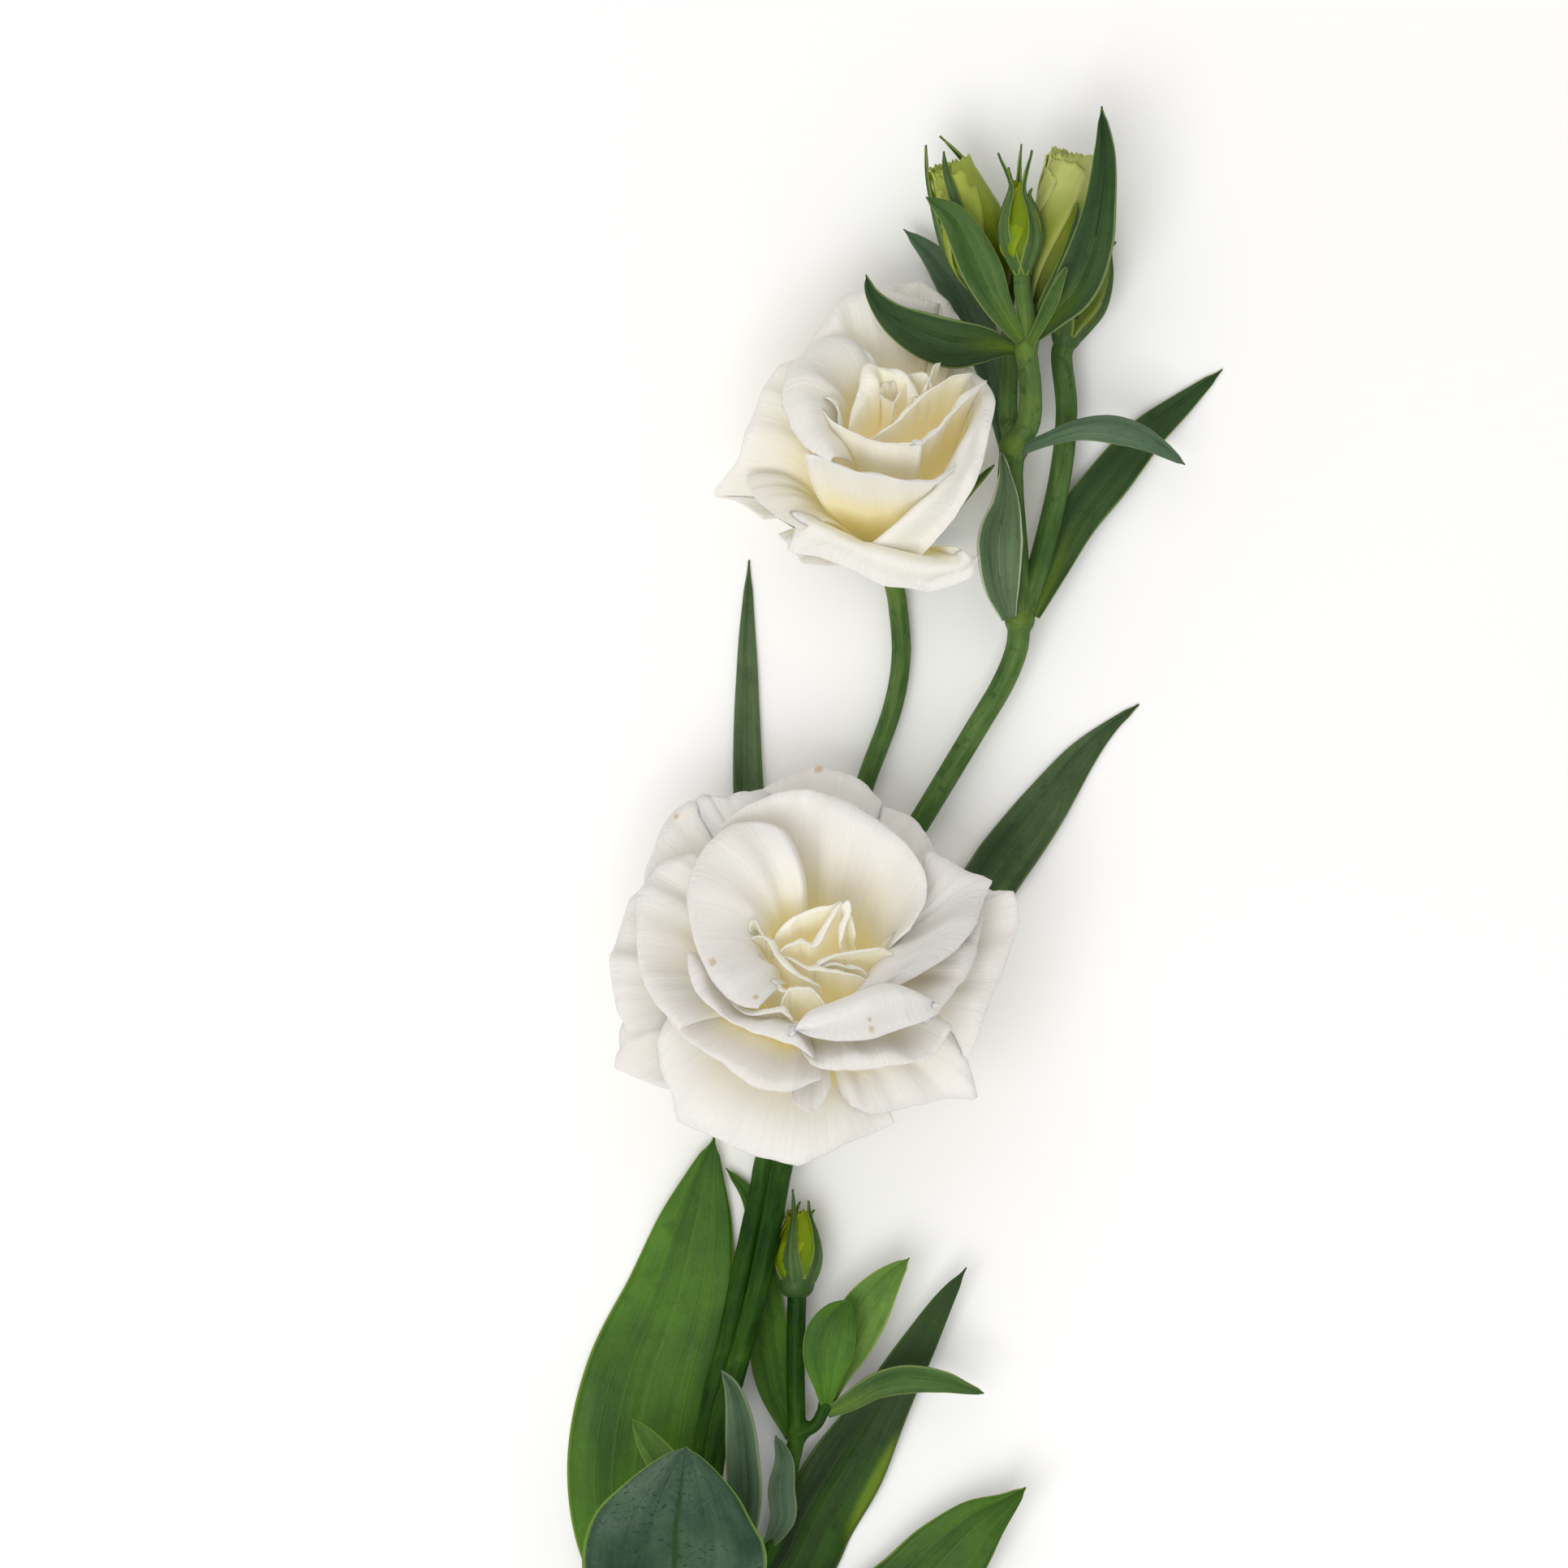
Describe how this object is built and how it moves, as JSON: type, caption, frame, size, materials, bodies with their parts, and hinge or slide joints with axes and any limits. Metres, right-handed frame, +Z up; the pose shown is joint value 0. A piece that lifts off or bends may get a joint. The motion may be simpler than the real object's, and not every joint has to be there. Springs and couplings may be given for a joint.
{
  "type": "lisianthus flower",
  "caption": "Cut stem of white lisianthus lying on a level surface, with open ruffled blooms, furled green buds and long pointed leaves on a branching stem.",
  "frame": {"origin": "middle of the lying flower's box, on the surface that it lies on", "axes": "+Z up from the surface, +Y along the stem from the cut end towards the buds, +X to the right seen from above"},
  "size_m": [0.1128, 0.3066, 0.0562],
  "materials": {
    "petals": "matte",
    "bud_petals": "matte",
    "sepals": "satin",
    "stem": "satin",
    "upper_leaves": "satin",
    "lower_leaves": "satin"
  },
  "bodies": {
    "root": {"stem": "stem", "lower_bloom_petals": "petals", "lower_bloom_calyx": "sepals", "upper_bloom_petals": "petals", "upper_bloom_calyx": "sepals", "bud_a_petals": "bud_petals", "bud_a_calyx": "sepals", "bud_b_petals": "bud_petals", "bud_b_calyx": "sepals", "bud_c_petals": "bud_petals", "bud_c_calyx": "sepals", "bud_d_petals": "bud_petals", "bud_d_calyx": "sepals", "bud_e_petals": "bud_petals", "bud_e_calyx": "sepals", "big_left_leaf": "lower_leaves", "broad_front_leaf": "lower_leaves", "long_right_low_leaf": "lower_leaves", "low_right_leaf": "lower_leaves", "small_light_leaf": "lower_leaves", "curled_leaf": "lower_leaves", "leaf_behind_pedicel": "lower_leaves", "sheath_leaf": "lower_leaves", "oval_leaf": "lower_leaves", "pointed_leaf": "lower_leaves", "arched_leaf": "lower_leaves", "narrow_left_leaf": "upper_leaves", "right_fork_leaf": "upper_leaves", "folded_leaf": "upper_leaves", "long_right_leaf": "upper_leaves", "arched_upper_leaf": "upper_leaves", "back_left_leaf": "upper_leaves", "left_crown_leaf": "upper_leaves", "mid_crown_leaf": "upper_leaves", "young_crown_leaf": "upper_leaves", "right_crown_leaf": "upper_leaves"}
  },
  "joints": []
}
